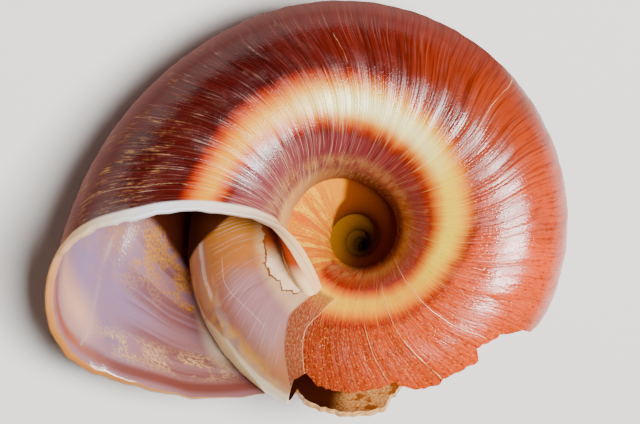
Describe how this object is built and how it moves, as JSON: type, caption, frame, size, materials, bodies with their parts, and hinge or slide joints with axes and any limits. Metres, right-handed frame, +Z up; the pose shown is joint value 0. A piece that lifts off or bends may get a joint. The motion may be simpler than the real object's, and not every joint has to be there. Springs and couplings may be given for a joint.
{
  "type": "land snail shell",
  "caption": "Empty shell of a large land snail: right-handed coil, open umbilicus, turned-out lip, a pale band on the base and a piece broken out of the last turn.",
  "frame": {"origin": "middle of the extent at the level the shell rests on", "axes": "+Z up as it rests, spire down and base up; -Y the side the mouth opens to; +X the side of the shell away from the mouth"},
  "size_m": [0.0454, 0.0368, 0.0239],
  "materials": {
    "shell": "glossy chestnut outside with a cream band, lilac glaze inside the mouth"
  },
  "bodies": {
    "root": {"shell": "shell"}
  },
  "joints": []
}
